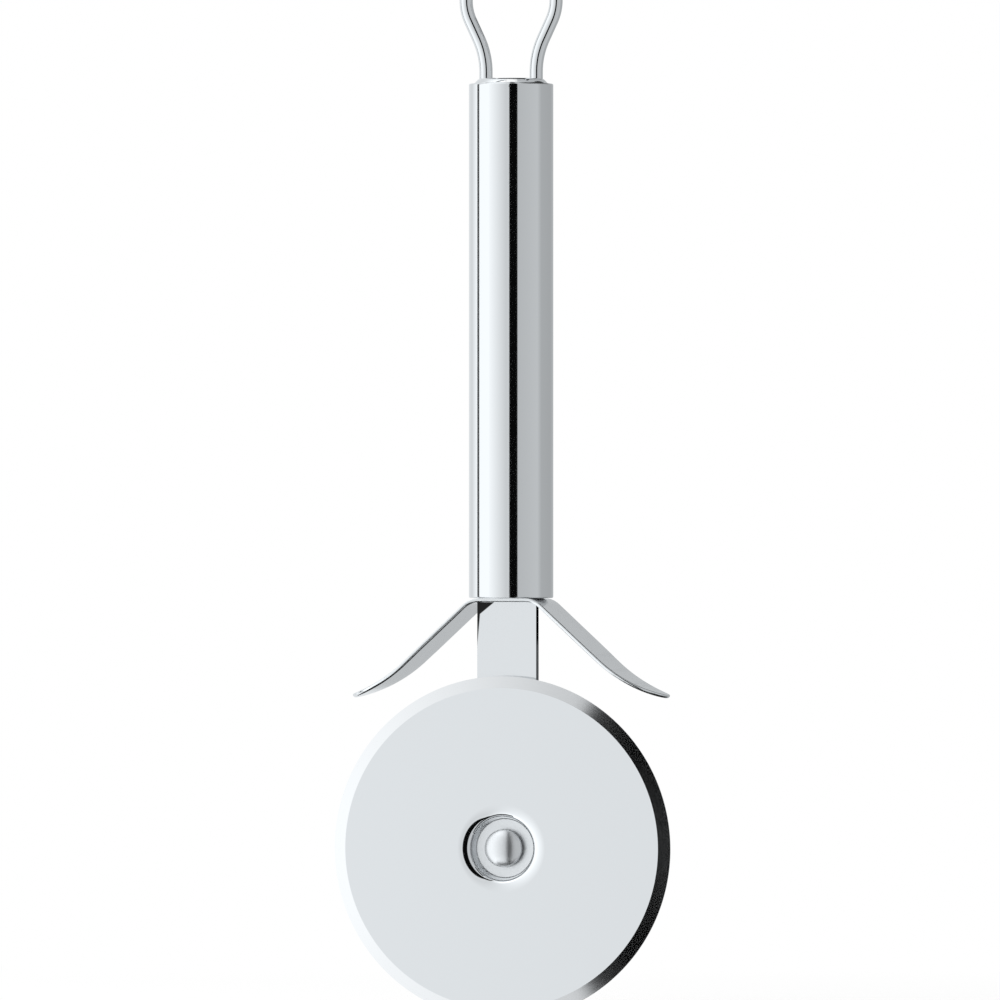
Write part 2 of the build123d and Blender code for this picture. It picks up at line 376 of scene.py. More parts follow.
def bored(solid, drills):
    """Cut the drills out of a solid and return what is left of it."""
    blanks = []
    for bm in (solid, drills):
        bmesh.ops.remove_doubles(bm, verts=bm.verts, dist=WELD)
        bmesh.ops.recalc_face_normals(bm, faces=bm.faces)
        mesh = bpy.data.meshes.new("blank")
        bm.to_mesh(mesh)
        bm.free()
        blank = bpy.data.objects.new("blank", mesh)
        bpy.context.scene.collection.objects.link(blank)
        blanks.append(blank)
    bore = blanks[0].modifiers.new("Bore", "BOOLEAN")
    bore.operation = "DIFFERENCE"
    bore.solver = "EXACT"
    bore.object = blanks[1]
    left = bmesh.new()
    left.from_object(blanks[0], bpy.context.evaluated_depsgraph_get())
    for blank in blanks:
        mesh = blank.data
        bpy.data.objects.remove(blank)
        bpy.data.meshes.remove(mesh)
    return left


def finish_piece(bm, name, body, slot):
    """Weld a mesh, turn its faces outwards, and hand it over in place of the node of the same name."""
    bmesh.ops.remove_doubles(bm, verts=bm.verts, dist=WELD)
    bmesh.ops.recalc_face_normals(bm, faces=bm.faces)
    mesh = bpy.data.meshes.new(name)
    bm.to_mesh(mesh)
    bm.free()
    mesh.shade_smooth()
    mesh.set_sharp_from_angle(angle=SHARP_ANGLE)
    piece = bpy.data.objects.new("dressed_" + name, mesh)
    bpy.context.scene.collection.objects.link(piece)
    mesh.materials.append(finish_of(slot))
    smoothing = piece.modifiers.new("Weighted normals", "WEIGHTED_NORMAL")
    smoothing.keep_sharp = True
    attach(piece, body)
    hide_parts(name)
    return piece


# Finishes

def add(tree, kind, options=None, **inputs):
    """Add a shader node, set its options, and give its inputs values or links."""
    made = tree.nodes.new(kind)
    for option, value in (options or {}).items():
        setattr(made, option, value)
    for socket, value in inputs.items():
        target = made.inputs[socket.replace("_", " ")]
        if isinstance(value, bpy.types.NodeSocket):
            tree.links.new(value, target)
        else:
            target.default_value = value
    return made


def reckon(tree, operation, *values):
    """Add a calculation on one, two or three values."""
    made = tree.nodes.new("ShaderNodeMath")
    made.operation = operation
    for place, value in enumerate(values):
        if isinstance(value, bpy.types.NodeSocket):
            tree.links.new(value, made.inputs[place])
        else:
            made.inputs[place].default_value = value
    return made.outputs[0]


def spread(tree, value, start, end, low=0.0, high=1.0):
    """Go softly from low to high as a value goes from start to end."""
    made = add(
        tree, "ShaderNodeMapRange", {"interpolation_type": "SMOOTHSTEP"},
        Value=value, From_Min=start, From_Max=end, To_Min=low, To_Max=high,
    )
    return made.outputs["Result"]


def places(tree, centre=(0, 0, 0), scale=(1, 1, 1)):
    """Places on the piece, measured from a centre and stretched."""
    coordinates = add(tree, "ShaderNodeTexCoord").outputs["Object"]
    shift = tuple(-middle * factor for middle, factor in zip(centre, scale))
    return add(tree, "ShaderNodeMapping", Vector=coordinates, Location=shift, Scale=scale).outputs["Vector"]


def noise(tree, vector, scale=1.0, detail=2.0, roughness=0.5):
    """An even grain, or lines where the places are stretched."""
    made = add(tree, "ShaderNodeTexNoise", Vector=vector, Scale=scale, Detail=detail, Roughness=roughness)
    return made.outputs["Fac"]


def rings(tree, fineness, length_share):
    """Fine rings round the axle, as a lathe or a grinding wheel leaves them, each broken along its length."""
    split = add(tree, "ShaderNodeSeparateXYZ", Vector=places(tree, axle))
    across, up = split.outputs["X"], split.outputs["Z"]
    squares = [reckon(tree, "POWER", side, 2.0) for side in (across, up)]
    radius = reckon(tree, "SQRT", reckon(tree, "ADD", *squares))
    around = add(
        tree, "ShaderNodeCombineXYZ",
        X=reckon(tree, "MULTIPLY", reckon(tree, "DIVIDE", across, radius), length_share),
        Y=reckon(tree, "MULTIPLY", reckon(tree, "DIVIDE", up, radius), length_share),
        Z=reckon(tree, "MULTIPLY", radius, fineness),
    )
    return noise(tree, around.outputs["Vector"], detail=3.0, roughness=0.6), radius


def empty_tree(owner):
    """Give a material or the world an empty node tree."""
    owner.use_nodes = True
    owner.node_tree.nodes.clear()
    return owner.node_tree


def show(tree, shader, output="ShaderNodeOutputMaterial"):
    """Send a shader to the surface."""
    tree.links.new(shader, add(tree, output).inputs["Surface"])


def steel(name, base_colour):
    """A bare steel material with its shader, ready for its finish."""
    material = bpy.data.materials.new("dressed_" + name)
    tree = empty_tree(material)
    shader = add(tree, "ShaderNodeBsdfPrincipled", Base_Color=(*base_colour, 1.0), Metallic=1.0)
    show(tree, shader.outputs["BSDF"])
    return material, tree, shader


def wear(tree):
    """More on outer edges, where handling dulls the polish."""
    geometry = add(tree, "ShaderNodeNewGeometry")
    return spread(tree, geometry.outputs["Pointiness"], 0.52, 0.60)


def set_roughness(tree, shader, base, smudge, edge):
    """Roughness with faint smudges from hands and cloths, and duller edges."""
    hands = noise(tree, places(tree), scale=55.0, detail=3.0, roughness=0.55)
    hands = spread(tree, hands, 0.45, 0.8, high=smudge)
    cloth = noise(tree, places(tree, scale=(1, 1, 0.35)), scale=420.0, detail=4.0, roughness=0.6)
    cloth = spread(tree, cloth, 0.4, 0.8, high=smudge / 2)
    worn = reckon(tree, "MULTIPLY", wear(tree), edge)
    total = reckon(tree, "ADD", reckon(tree, "ADD", reckon(tree, "ADD", hands, cloth), worn), base)
    tree.links.new(total, shader.inputs["Roughness"])
    return total


def set_bump(tree, shader, *heights):
    """Fine relief: each height is a pattern and its depth in microns."""
    normal = None
    for pattern, depth in heights:
        bump = add(tree, "ShaderNodeBump", Height=pattern, Strength=1.0, Distance=depth * MICRON)
        if normal is not None:
            tree.links.new(normal, bump.inputs["Normal"])
        normal = bump.outputs["Normal"]
    tree.links.new(normal, shader.inputs["Normal"])


def blend(tree, weight, first, second):
    """Go from one colour to another as the weight goes from nothing to one."""
    made = add(tree, "ShaderNodeMix", {"data_type": "RGBA"})
    tree.links.new(weight, made.inputs["Factor"])
    colours = [socket for socket in made.inputs if socket.type == "RGBA"]
    colours[0].default_value = (*first, 1.0)
    colours[1].default_value = (*second, 1.0)
    return [socket for socket in made.outputs if socket.type == "RGBA"][0]


def under_guard(tree):
    """Distances to the left and up from the middle of the tube's lower rim."""
    split = add(tree, "ShaderNodeSeparateXYZ", Vector=places(tree, (0, 0, tube_low.z)))
    return reckon(tree, "MULTIPLY", split.outputs["X"], -1.0), split.outputs["Z"]


def polished_steel(name):
    """Mirror polish with faint drawn lines along the tube and a few tiny pits."""
    finish = sizes("finish")
    material, tree, shader = steel(name, finish.polished_colour)
    set_roughness(tree, shader, finish.polished, smudge=0.03, edge=0.08)
    drawn = noise(tree, places(tree, scale=(2600, 2600, 26)), detail=3.0, roughness=0.6)
    ripple = noise(tree, places(tree, scale=(1, 1, 0.3)), scale=160.0, detail=1.0)
    spots = add(
        tree, "ShaderNodeTexVoronoi", {"feature": "F1"}, Vector=places(tree), Scale=210.0, Randomness=1.0
    )
    pits = spread(tree, spots.outputs["Distance"], 0.02, 0.05, low=1.0, high=0.0)
    set_bump(tree, shader, (ripple, 2.0), (drawn, 0.3), (pits, -1.5))
    return material


def guard_steel(name):
    """Fine satin sheet, brushed from tip to tip."""
    finish = sizes("finish")
    material, tree, shader = steel(name, finish.satin_colour)
    brushed = noise(tree, places(tree, scale=(90, 5200, 700)), detail=4.0, roughness=0.65)
    grain = noise(tree, places(tree), scale=5200.0)
    set_roughness(tree, shader, finish.satin, smudge=0.06, edge=0.05)
    set_bump(tree, shader, (brushed, 1.2), (grain, 0.5))
    return material


def arm_steel(name):
    """Polished strip with fine lines along its length, and painted shade in the corner under the guard and down
    its left side.
    """
    finish = sizes("finish")
    arm = sizes("arm")
    material, tree, shader = steel(name, finish.blade_colour)
    left, up = under_guard(tree)
    borders = (
        (reckon(tree, "MULTIPLY_ADD", left, arm.dark_slope, up), arm.dark_corner),
        (reckon(tree, "MULTIPLY_ADD", up, arm.dark_taper, left), arm.dark_side),
    )
    corner, side = (
        spread(tree, place, border - arm.dark_fade, border + arm.dark_fade)
        for place, border in borders
    )
    # Painted shade: near-black in the corner under the guard and along the left side.
    dark = reckon(tree, "MAXIMUM", corner, side)
    tree.links.new(blend(tree, dark, finish.blade_colour, finish.painted_shade_colour), shader.inputs["Base Color"])
    lines = noise(tree, places(tree, scale=(3600, 3600, 45)), detail=4.0, roughness=0.6)
    set_roughness(tree, shader, finish.polished, smudge=0.04, edge=0.06)
    set_bump(tree, shader, (lines, 0.25))
    return material


def cut_steel(name):
    """The blanked edge of a strip: dull and grooved across its thickness, with painted shade near the guard that
    darkens its colour and what it mirrors.
    """
    finish = sizes("finish")
    arm = sizes("arm")
    material, tree, shader = steel(name, finish.cut_colour)
    up = under_guard(tree)[1]
    # Painted shade: the cut edge's colour and what it mirrors turn near-black close to the guard.
    dark = spread(tree, up, -arm.dark_edge_end, -arm.dark_edge_start)
    tree.links.new(blend(tree, dark, finish.cut_colour, finish.painted_shade_colour), shader.inputs["Base Color"])
    tree.links.new(blend(tree, dark, finish.cut_sheen, finish.painted_shade_colour), shader.inputs["Specular Tint"])
    grooves = noise(tree, places(tree, scale=(300, 300, 5200)), detail=4.0, roughness=0.65)
    set_roughness(tree, shader, finish.satin, smudge=0.12, edge=0.0)
    set_bump(tree, shader, (grooves, 2.0))
    return material


def blade_steel(name):
    """Polished face, with a bevel ground in rings and finer rings in the cup."""
    finish = sizes("finish")
    wheel = sizes("wheel")
    material, tree, shader = steel(name, finish.blade_colour)
    ground, radius = rings(tree, fineness=5200.0, length_share=2.2)
    fine = rings(tree, fineness=16000.0, length_share=9.0)[0]
    flat_radius = wheel.diameter / 2 - wheel.bevel
    on_bevel = reckon(tree, "GREATER_THAN", radius, flat_radius)
    on_floor = reckon(tree, "LESS_THAN", radius, wheel.cup_radius)
    base = set_roughness(tree, shader, finish.blade, smudge=0.03, edge=0.0)
    base = reckon(tree, "MULTIPLY_ADD", on_bevel, finish.bevel - finish.blade, base)
    base = reckon(tree, "MULTIPLY_ADD", on_floor, finish.cup - finish.blade, base)
    tree.links.new(base, shader.inputs["Roughness"])
    tree.links.new(blend(tree, on_bevel, finish.blade_colour, finish.bevel_colour), shader.inputs["Base Color"])
    deep = reckon(tree, "MULTIPLY", ground, on_bevel)
    set_bump(tree, shader, (deep, 2.5), (fine, 0.2))
    return material


def rivet_steel(name):
    """Satin steel, turned in fine rings, with a painted shadow line round the foot of the head."""
    finish = sizes("finish")
    rivet = sizes("rivet")
    material, tree, shader = steel(name, finish.rivet_colour)
    turned, radius = rings(tree, fineness=9000.0, length_share=6.0)
    depth = add(tree, "ShaderNodeSeparateXYZ", Vector=places(tree)).outputs["Y"]
    foot = rivet_low.y + rivet.dome + rivet.rim - rivet.dark_foot
    on_side = reckon(tree, "GREATER_THAN", radius, rivet.head_radius - rivet.edge / 2)
    # Painted shadow: a thin near-black band, in colour and in what it mirrors, round the foot of the head.
    at_foot = reckon(tree, "MULTIPLY", on_side, reckon(tree, "GREATER_THAN", depth, foot))
    tree.links.new(blend(tree, at_foot, finish.rivet_colour, finish.painted_shade_colour), shader.inputs["Base Color"])
    tree.links.new(blend(tree, at_foot, WHITE[:3], finish.painted_shade_colour), shader.inputs["Specular Tint"])
    grain = noise(tree, places(tree), scale=6000.0)
    base = set_roughness(tree, shader, finish.rivet, smudge=0.06, edge=0.05)
    duller = reckon(tree, "MULTIPLY_ADD", on_side, finish.rivet_side - finish.rivet, base)
    tree.links.new(duller, shader.inputs["Roughness"])
    set_bump(tree, shader, (turned, 0.6), (grain, 0.5))
    return material


def hidden_steel(name):
    """Plain turned or stamped steel, for the washers, the bush and the parts inside the handle."""
    finish = sizes("finish")
    material, tree, shader = steel(name, finish.hidden_colour)
    turned = noise(tree, places(tree, scale=(700, 700, 6000)), detail=3.0, roughness=0.6)
    set_roughness(tree, shader, finish.hidden, smudge=0.1, edge=0.0)
    set_bump(tree, shader, (turned, 1.5))
    return material


finishes = {
    "polished_steel": polished_steel,
    "guard_steel": guard_steel,
    "arm_steel": arm_steel,
    "cut_steel": cut_steel,
    "blade_steel": blade_steel,
    "rivet_steel": rivet_steel,
    "washer_steel": hidden_steel,
    "bush_steel": hidden_steel,
    "core_steel": hidden_steel,
}


def finish_of(slot):
    """The finish of a slot, made once."""
    return bpy.data.materials.get("dressed_" + slot) or finishes[slot](slot)


# Pieces

class CUTTER_OT_hanging_loop(bpy.types.Operator):
    """Bend the wire loop that the cutter hangs from"""
    bl_idname = "cutter.hanging_loop"
    bl_label = "Hanging Loop"

    def execute(self, context):
        loop = sizes("loop")
        wire = loop.wire / 2
        lean = Vector((sin(loop.flare), 0, cos(loop.flare)))
        inward = Vector((-cos(loop.flare), 0, sin(loop.flare)))
        bends = (loop.neck_bend + loop.side_bend) * (1 - cos(loop.flare))
        straight = ((loop.width - loop.neck_spacing) / 2 - bends) / sin(loop.flare)
        rise = (loop.neck_bend + loop.side_bend) * sin(loop.flare) + straight * cos(loop.flare)
        neck_top = wire - loop.corner - rise
        foot = Vector((loop.neck_spacing / 2, 0, loop_low.z))

        bm = bmesh.new()
        ring = circle(bm, loop.upset / 2, RING_STEPS, foot)
        bmesh.ops.holes_fill(bm, edges=ring)
        ring = pull(bm, ring, UP * loop.upset_height)
        ring = pull(bm, ring, Vector(), loop.wire / loop.upset, foot)
        ring = pull(bm, ring, UP * (neck_top - foot.z - loop.upset_height))
        neck_start = Vector((foot.x, 0, neck_top))
        neck_centre = neck_start + ACROSS * loop.neck_bend
        ring = bend(bm, ring, neck_centre, loop.flare, BEND_STEPS)
        ring = pull(bm, ring, lean * straight)
        side_start = neck_centre + inward * loop.neck_bend + lean * straight
        ring = bend(bm, ring, side_start + inward * loop.side_bend, -loop.flare, BEND_STEPS)
        corner_centre = Vector((loop.width / 2 - loop.corner, 0, wire - loop.corner))
        ring = bend(bm, ring, corner_centre, -pi / 2, CORNER_STEPS)
        pull(bm, ring, -ACROSS * corner_centre.x)
        bmesh.ops.mirror(bm, geom=bm.verts[:] + bm.edges[:] + bm.faces[:], axis="X", merge_dist=WELD)
        finish_piece(bm, "hanging_loop", "handle", "polished_steel")
        return {"FINISHED"}


class CUTTER_OT_top_end_cap(bpy.types.Operator):
    """Turn the bevelled cap in the tube's top, with two holes for the wire"""
    bl_idname = "cutter.top_end_cap"
    bl_label = "Top End Cap"

    def execute(self, context):
        handle = sizes("handle")
        loop = sizes("loop")
        radius = cap_high.x
        bm = bmesh.new()
        foot = bm.verts.new((0, 0, cap_low.z))
        corners = lines_through(bm, foot, (
            (radius, 0, cap_low.z),
            (radius, 0, tube_high.z),
            (radius - handle.cap_bevel, 0, cap_high.z),
            (0, 0, cap_high.z),
        ))
        round_corners(bm, [corners[1]], handle.cap_edge)
        round_corners(bm, [corners[2]], handle.cap_crown)
        turn_full(bm, (0, 0, 0), UP)
        drills = bmesh.new()
        for side in (-1, 1):
            place = Vector((side * loop.neck_spacing / 2, 0, cap_low.z - handle.cap_bevel))
            ring = circle(drills, loop.wire / 2 + handle.wire_gap, DRILL_STEPS, place)
            bmesh.ops.holes_fill(drills, edges=ring)
            ring = pull(drills, ring, UP * (cap_high.z - cap_low.z + 2 * handle.cap_bevel))
            bmesh.ops.holes_fill(drills, edges=ring)
        finish_piece(bored(bm, drills), "top_end_cap", "handle", "polished_steel")
        return {"FINISHED"}


class CUTTER_OT_handle_tube(bpy.types.Operator):
    """Draw the handle's tube"""
    bl_idname = "cutter.handle_tube"
    bl_label = "Handle Tube"

    def execute(self, context):
        handle = sizes("handle")
        outer = handle.diameter / 2
        inner = outer - handle.wall
        bm = bmesh.new()
        first = bm.verts.new((inner, 0, tube_low.z))
        corners = lines_through(
            bm, first, ((outer, 0, tube_low.z), (outer, 0, tube_high.z), (inner, 0, tube_high.z))
        )
        join(bm, first, corners[-1])
        round_corners(bm, corners[:2], handle.edge)
        turn_full(bm, (0, 0, 0), UP)
        finish_piece(bm, "handle_tube", "handle", "polished_steel")
        return {"FINISHED"}


def guard_line(guard, place):
    """Height and slope of the guard's upper face at a distance from the middle."""
    top = tube_low.z
    bend_start = guard.flat / 2
    straight_start = bend_start + guard.bend * sin(guard.slope)
    flare_start = straight_start + guard.straight * cos(guard.slope)
    if place <= bend_start:
        return top, 0.0
    if place <= straight_start:
        slope = asin((place - bend_start) / guard.bend)
        return top - guard.bend * (1 - cos(slope)), slope
    straight_top = top - guard.bend * (1 - cos(guard.slope))
    if place <= flare_start:
        return straight_top - (place - straight_start) * tan(guard.slope), guard.slope
    flare_top = straight_top - guard.straight * sin(guard.slope)
    slope = asin(sin(guard.slope) - (place - flare_start) / guard.flare)
    return flare_top + guard.flare * (cos(guard.slope) - cos(slope)), slope


class CUTTER_OT_finger_guard(bpy.types.Operator):
    """Cut the winged finger guard from flat sheet, slot it for the tang and bend it"""
    bl_idname = "cutter.finger_guard"
    bl_label = "Finger Guard"

    def execute(self, context):
        guard = sizes("guard")
        arm = sizes("arm")
        bm = bmesh.new()
        bmesh.ops.create_circle(bm, cap_ends=True, radius=1.0, segments=GUARD_STEPS)
        rounded = (guard.span - guard.parallel) / 2
        for vert in bm.verts:
            vert.co.x = vert.co.x * rounded + copysign(guard.parallel / 2, vert.co.x)
            vert.co.y *= guard.depth / 2
        over = bm.verts[:]
        under = thicken(bm, -UP * guard.thickness)
        rims = (edges_among(over), guard.edge), (edges_among(under), guard.rolled_edge)
        for rim, radius in rims:
            round_edges(bm, rim, radius)

        # The slot, cut right through the sheet
        slot_front, slot_back = arm_low.y - guard.slot_gap, arm_high.y + guard.slot_gap
        drill = bmesh.new()
        bmesh.ops.create_cube(drill, size=1.0)
        slot = (arm.tang_width + 2 * guard.slot_gap, slot_back - slot_front, 4 * guard.thickness)
        bmesh.ops.scale(drill, verts=drill.verts, vec=slot)
        bmesh.ops.translate(drill, verts=drill.verts, vec=BACKWARD * (slot_front + slot_back) / 2)
        bm = bored(bm, drill)

        # The bends: narrow strips of the sheet follow the guard's line
        for step in range(1 - GUARD_STEPS, GUARD_STEPS):
            everything = bm.verts[:] + bm.edges[:] + bm.faces[:]
            across = ACROSS * guard.span / 2 * step / GUARD_STEPS
            bmesh.ops.bisect_plane(bm, geom=everything, dist=WELD, plane_co=across, plane_no=ACROSS)
        for vert in bm.verts:
            height, slope = guard_line(guard, abs(vert.co.x))
            upward = Vector((copysign(sin(slope), vert.co.x), 0, cos(slope)))
            vert.co = Vector((vert.co.x, vert.co.y, height)) + upward * vert.co.z
        finish_piece(bm, "finger_guard", "handle", "guard_steel")
        return {"FINISHED"}


class CUTTER_OT_blade_arm(bpy.types.Operator):
    """Cut the flat arm, with its tang and rivet hole"""
    bl_idname = "cutter.blade_arm"
    bl_label = "Blade Arm"

    def execute(self, context):
        arm = sizes("arm")
        guard = sizes("guard")
        rivet = sizes("rivet")
        front, half, tang = arm_low.y, arm.width / 2, arm.tang_width / 2
        under = tube_low.z - guard.thickness
        cope = guard.bend - guard.thickness
        lean = asin((half - guard.flat / 2) / cope)
        bm = bmesh.new()
        top = bm.verts.new((0, front, arm_high.z))
        corners = lines_through(
            bm, top, ((tang, front, arm_high.z), (tang, front, under), (guard.flat / 2, front, under))
        )
        shoulder = arc_to(bm, corners[-1], (guard.flat / 2, front, under - cope), BACKWARD, lean, COPE_STEPS)
        side = line_to(bm, shoulder, (half, front, axle.z))
        arc_to(bm, side, (0, front, axle.z), BACKWARD, pi / 2, CORNER_STEPS)
        bmesh.ops.mirror(bm, geom=bm.verts[:] + bm.edges[:], axis="X", merge_dist=WELD)
        outline = bm.edges[:]
        made = bmesh.ops.create_circle(
            bm, radius=rivet.shank, segments=RING_STEPS,
            matrix=Matrix.Translation((0, front, axle.z)) @ Matrix.Rotation(pi / 2, 4, "X"),
        )
        hole = edges_among(made["verts"])
        bmesh.ops.triangle_fill(bm, use_beauty=True, edges=outline + hole)
        thicken(bm, BACKWARD * (arm_high.y - arm_low.y))
        for face in bm.faces:
            is_cut = abs(face.normal.y) < 0.5
            face.material_index = int(is_cut)
        long_edges = [
            edge for edge in bm.edges
            if edge.calc_face_angle(0) > SQUARE_ANGLE and abs(edge.verts[0].co.y - edge.verts[1].co.y) < WELD
        ]
        round_edges(bm, long_edges, arm.edge)
        piece = finish_piece(bm, "blade_arm", "handle", "arm_steel")
        piece.data.materials.append(finish_of("cut_steel"))
        return {"FINISHED"}


class CUTTER_OT_cutting_wheel(bpy.types.Operator):
    """Turn the blade, with its ground bevel and drawn cup"""
    bl_idname = "cutter.cutting_wheel"
    bl_label = "Cutting Wheel"

    def execute(self, context):
        wheel = sizes("wheel")
        front = wheel_low.y
        back = front + wheel.thickness
        floor_front = front + wheel.cup_depth
        floor_back = floor_front + wheel.floor
        rim = wheel.diameter / 2
        flat = rim - wheel.bevel
        edge_front = front + wheel.bevel * tan(wheel.grind)
        curved_run = (
            wheel.dish * sin(wheel.dish_angle)
            + wheel.lip * (sin(wheel.wall_angle) - sin(wheel.dish_angle))
        )
        curved_depth = (
            wheel.dish * (1 - cos(wheel.dish_angle))
            + wheel.lip * (cos(wheel.dish_angle) - cos(wheel.wall_angle))
        )
        wall_run = (wheel.cup_depth - curved_depth) / tan(wheel.wall_angle)
        dish_start = wheel.cup_radius + curved_run + wall_run
        foot = wheel.cup_radius + wheel.wall
        foot_top = foot + (floor_back - back) / tan(wheel.wall_angle)

        bm = bmesh.new()
        first = bm.verts.new(at(dish_start, front))
        dish_centre = at(dish_start, front + wheel.dish)
        slope_out = Vector((sin(wheel.dish_angle), cos(wheel.dish_angle), 0))
        dish_end = arc_to(bm, first, dish_centre, UP, -wheel.dish_angle, BEND_STEPS)
        lip_centre = dish_centre - slope_out * (wheel.dish - wheel.lip)
        lip_end = arc_to(bm, dish_end, lip_centre, UP, wheel.dish_angle - wheel.wall_angle, LIP_STEPS)
        corners = lines_through(bm, lip_end, (
            at(wheel.cup_radius, floor_front),
            at(wheel.bore, floor_front),
            at(wheel.bore, floor_back),
            at(foot, floor_back),
            at(foot_top, back),
            at(flat, back),
            at(rim, edge_front + wheel.land),
            at(rim, edge_front),
            at(flat, front),
        ))
        join(bm, first, corners[-1])
        round_corners(bm, [corners[0]], wheel.corner)
        round_corners(bm, corners[3:5], wheel.outer_bend)
        turn_full(bm, axle, BACKWARD)
        finish_piece(bm, "cutting_wheel", "wheel", "blade_steel")
        return {"FINISHED"}


class CUTTER_OT_axle_rivet(bpy.types.Operator):
    """Turn the rivet that the blade runs on"""
    bl_idname = "cutter.axle_rivet"
    bl_label = "Axle Rivet"

    def execute(self, context):
        rivet = sizes("rivet")
        head_top = rivet_low.y
        rim_front = head_top + rivet.dome
        head_base = rim_front + rivet.rim
        dome_radius = (rivet.head_radius ** 2 + rivet.dome ** 2) / (2 * rivet.dome)
        dome_angle = atan2(rivet.head_radius, dome_radius - rivet.dome)

        bm = bmesh.new()
        top = bm.verts.new(at(0, head_top))
        rim = arc_to(bm, top, at(0, head_top + dome_radius), UP, dome_angle, CORNER_STEPS)
        corners = lines_through(bm, rim, (
            at(rivet.head_radius, head_base),
            at(rivet.shank, head_base),
            at(rivet.shank, arm_high.y),
            at(rivet.tail_radius, arm_high.y),
            at(rivet.tail_radius, rivet_high.y),
            at(0, rivet_high.y),
        ))
        round_corners(bm, [rim, corners[0]], rivet.edge)
        round_corners(bm, [corners[4]], rivet.tail_bevel)
        turn_full(bm, axle, BACKWARD)
        finish_piece(bm, "axle_rivet", "handle", "rivet_steel")
        return {"FINISHED"}


class CUTTER_OT_small_parts(bpy.types.Operator):
    """Give the washers, the bush, the lower plug and its pin their finishes"""
    bl_idname = "cutter.small_parts"
    bl_label = "Small Parts"

    def execute(self, context):
        parts = {
            "front_washer": "washer_steel", "rear_washer": "washer_steel", "bearing_bush": "bush_steel",
            "bottom_end_plug": "core_steel", "tang_pin": "core_steel",
        }
        for node, finish in parts.items():
            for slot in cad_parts[node].material_slots:
                slot.material = finish_of(finish)
        return {"FINISHED"}


class CUTTER_OT_studio(bpy.types.Operator):
    """Set up the floor, the panels that the steel mirrors, the lamp, the background and the camera"""
    bl_idname = "cutter.studio"
    bl_label = "Studio"

    def execute(self, context):
        lay_floor()
        stand_panels()
        hang_cards()
        hang_lamp()
        paint_background()
        place_camera()
        context.scene.view_settings.view_transform = "Standard"
        return {"FINISHED"}


def stage_mesh(bm, name, material):
    """A piece of the studio, which isn't part of the cutter."""
    mesh = bpy.data.meshes.new(name)
    bm.to_mesh(mesh)
    bm.free()
    mesh.materials.append(material)
    piece = bpy.data.objects.new(name, mesh)
    bpy.context.scene.collection.objects.link(piece)
    return piece


def seen_directly(tree):
    """One for what the camera sees, also in a mirror or through glass."""
    path = add(tree, "ShaderNodeLightPath")
    total = reckon(tree, "ADD", path.outputs["Is Camera Ray"], path.outputs["Is Glossy Ray"])
    return reckon(tree, "MINIMUM", reckon(tree, "ADD", total, path.outputs["Is Transmission Ray"]), 1.0)


def lay_floor():
    """A pale floor under the blade, which turns white a little way off. It keeps the cutter's shadow."""
    studio = sizes("studio")
    material = bpy.data.materials.new("floor")
    tree = empty_tree(material)
    paint = add(tree, "ShaderNodeBsdfDiffuse", Color=(*studio.floor_colour, 1.0))
    white = add(tree, "ShaderNodeEmission", Color=WHITE, Strength=1.0)
    flat = places(tree, scale=(1, 1, 0))
    distance = add(tree, "ShaderNodeVectorMath", {"operation": "LENGTH"}, Vector=flat).outputs["Value"]
    far = spread(tree, distance, studio.floor_fade_start, studio.floor_fade_end)
    mix = add(tree, "ShaderNodeMixShader", Fac=reckon(tree, "MULTIPLY", far, seen_directly(tree)))
    tree.links.new(paint.outputs["BSDF"], mix.inputs[1])
    tree.links.new(white.outputs["Emission"], mix.inputs[2])
    show(tree, mix.outputs["Shader"])
    bm = bmesh.new()
    under = Matrix.Translation(UP * wheel_low.z)
    bmesh.ops.create_circle(bm, cap_ends=True, radius=studio.floor_radius, segments=FLOOR_STEPS, matrix=under)
    floor = stage_mesh(bm, "floor", material)
    floor.visible_glossy = False


def glow(material, tree, **light):
    """Make a material shine, for the steel to mirror and not to light the scene."""
    show(tree, add(tree, "ShaderNodeEmission", **light).outputs["Emission"])
    material.cycles.emission_sampling = "NONE"


def only_mirrored(piece):
    """Leave a piece of the studio for the steel alone to see."""
    piece.visible_camera = False
    piece.visible_diffuse = False
    piece.visible_shadow = False


def stand_panels():
    """Tall soft panels round the cutter, brighter far up and far down, which only the steel sees."""
    material = bpy.data.materials.new("studio_panels")
    tree = empty_tree(material)
    turned = add(
        tree, "ShaderNodeMapping", Vector=add(tree, "ShaderNodeTexCoord").outputs["Object"],
        Rotation=(0, 0, -radians(panel_start + 90)),
    )
    around = add(tree, "ShaderNodeTexGradient", {"gradient_type": "RADIAL"}, Vector=turned.outputs["Vector"])
    ramp = add(tree, "ShaderNodeValToRGB", Fac=around.outputs["Fac"])
    stops = ramp.color_ramp.elements
    stops.remove(stops[0])
    for start, end, level_start, level_end in studio_panels:
        for azimuth, brightness in ((start, level_start), (end, level_end)):
            stop = stops.new((azimuth - panel_start) / 360)
            stop.color = (*(brightness * tint for tint in panel_tint), 1)
    stops.remove(stops[-1])
    height = reckon(tree, "ABSOLUTE", add(tree, "ShaderNodeSeparateXYZ", Vector=places(tree)).outputs["Z"])
    strength = spread(tree, height, gain_start, gain_end, low=1.0, high=panel_gain)
    glow(material, tree, Color=ramp.outputs["Color"], Strength=strength)
    bm = bmesh.new()
    ring = circle(bm, panel_radius, PANEL_STEPS, -UP * panel_reach)
    pull(bm, ring, UP * 2 * panel_reach)
    only_mirrored(stage_mesh(bm, "studio_panels", material))


